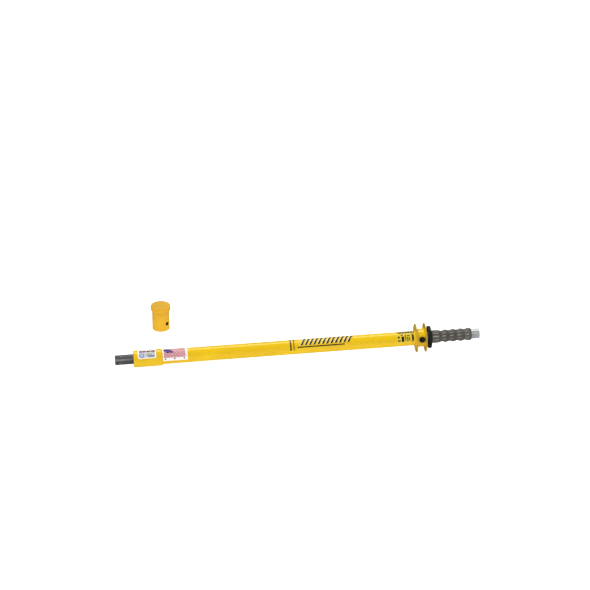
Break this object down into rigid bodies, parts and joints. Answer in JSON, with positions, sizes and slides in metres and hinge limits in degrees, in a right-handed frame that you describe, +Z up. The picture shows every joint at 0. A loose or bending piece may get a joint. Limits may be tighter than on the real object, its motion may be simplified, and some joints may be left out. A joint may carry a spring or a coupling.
{
  "type": "bead breaker",
  "caption": "Slide-hammer bead breaker: a rubber-gripped steel ram slides in a yellow barrel and strikes a drive shank; a socketed striking cap stands beside it.",
  "frame": {"origin": "centre of the drive shank's tip face, on the tool's axis", "axes": "+X along the tool's axis towards the handle end, +Z up as the tool lies on its collar and guard, -Y towards the side that carries the lock screw"},
  "size_m": [1.041, 0.2942, 0.0913],
  "materials": {
    "yellow_paint": "glossy safety-yellow enamel, lightly scuffed",
    "cap_paint": "deeper yellow enamel, satin on the striking head",
    "dark_steel": "dark heat-treated steel, fine turning marks, light oil",
    "hardened_steel": "turned and hardened steel",
    "ground_steel": "centreless ground bar, oiled",
    "polished_steel": "bright turned steel",
    "black_oxide": "black oxide screw",
    "bearing_bronze": "sintered bearing bronze",
    "brass_pad": "turned brass",
    "urethane": "cast urethane",
    "grip_rubber": "moulded grip rubber with ribs",
    "guard_rubber": "black moulded rubber",
    "label_white": "printed vinyl label",
    "label_striped": "printed vinyl label with plain stripes",
    "label_black": "black vinyl graphic",
    "label_yellow": "printed vinyl label with plain blocks"
  },
  "bodies": {
    "barrel": {"barrel_tube": "yellow_paint", "nose_collar": "yellow_paint", "shank_key": "hardened_steel", "front_cushion": "urethane", "guard_hub": "yellow_paint", "guard_flange_front": "yellow_paint", "guard_flange_rear": "yellow_paint", "rear_bushing": "bearing_bronze", "rear_bumper": "urethane", "bushing_snap_ring": "hardened_steel", "label_nose": "label_white", "label_stripes": "label_striped", "label_graphic": "label_black", "label_warning": "label_yellow"},
    "shank": {"drive_shank": "dark_steel"},
    "ram_guide": {"ram_guide_bands": "bearing_bronze"},
    "ram": {"ram_head": "hardened_steel", "ram_head_pin": "hardened_steel", "ram_rod": "ground_steel", "grip_guard": "guard_rubber", "grip": "grip_rubber", "handle_end": "polished_steel"},
    "lock_pad": {"lock_pad": "brass_pad"},
    "lock_screw": {"lock_screw": "black_oxide"},
    "cap": {"striking_cap": "cap_paint"}
  },
  "joints": [
    {"name": "shank_slide", "type": "slide", "parent": "barrel", "child": "shank", "axis": [1, 0, 0], "range_m": [0, 0.01]},
    {"name": "ram_slide", "type": "slide", "parent": "barrel", "child": "ram_guide", "axis": [1, 0, 0], "range_m": [0, 0.624]},
    {"name": "ram_turn", "type": "hinge", "parent": "ram_guide", "child": "ram", "pos_m": [0.1704, 0, 0], "axis": [1, 0, 0], "continuous": true},
    {"name": "lock_pad_slide", "type": "slide", "parent": "barrel", "child": "lock_pad", "axis": [0, 0.9659, -0.2588], "range_m": [-0.0032, 0.00045]},
    {"name": "lock_screw_turn", "type": "hinge", "parent": "lock_pad", "child": "lock_screw", "pos_m": [0.87265, 0, 0], "axis": [0, 0.9659, -0.2588], "range_deg": [-720, 100]},
    {"name": "cap_lift", "type": "slide", "parent": "barrel", "child": "cap", "axis": [0.0214, 0, 0.9998], "range_m": [0, 0.12]}
  ],
  "couplings": [
    {"joint": "lock_pad_slide", "follows": "lock_screw_turn", "m_per_rad": 0.00025266}
  ]
}
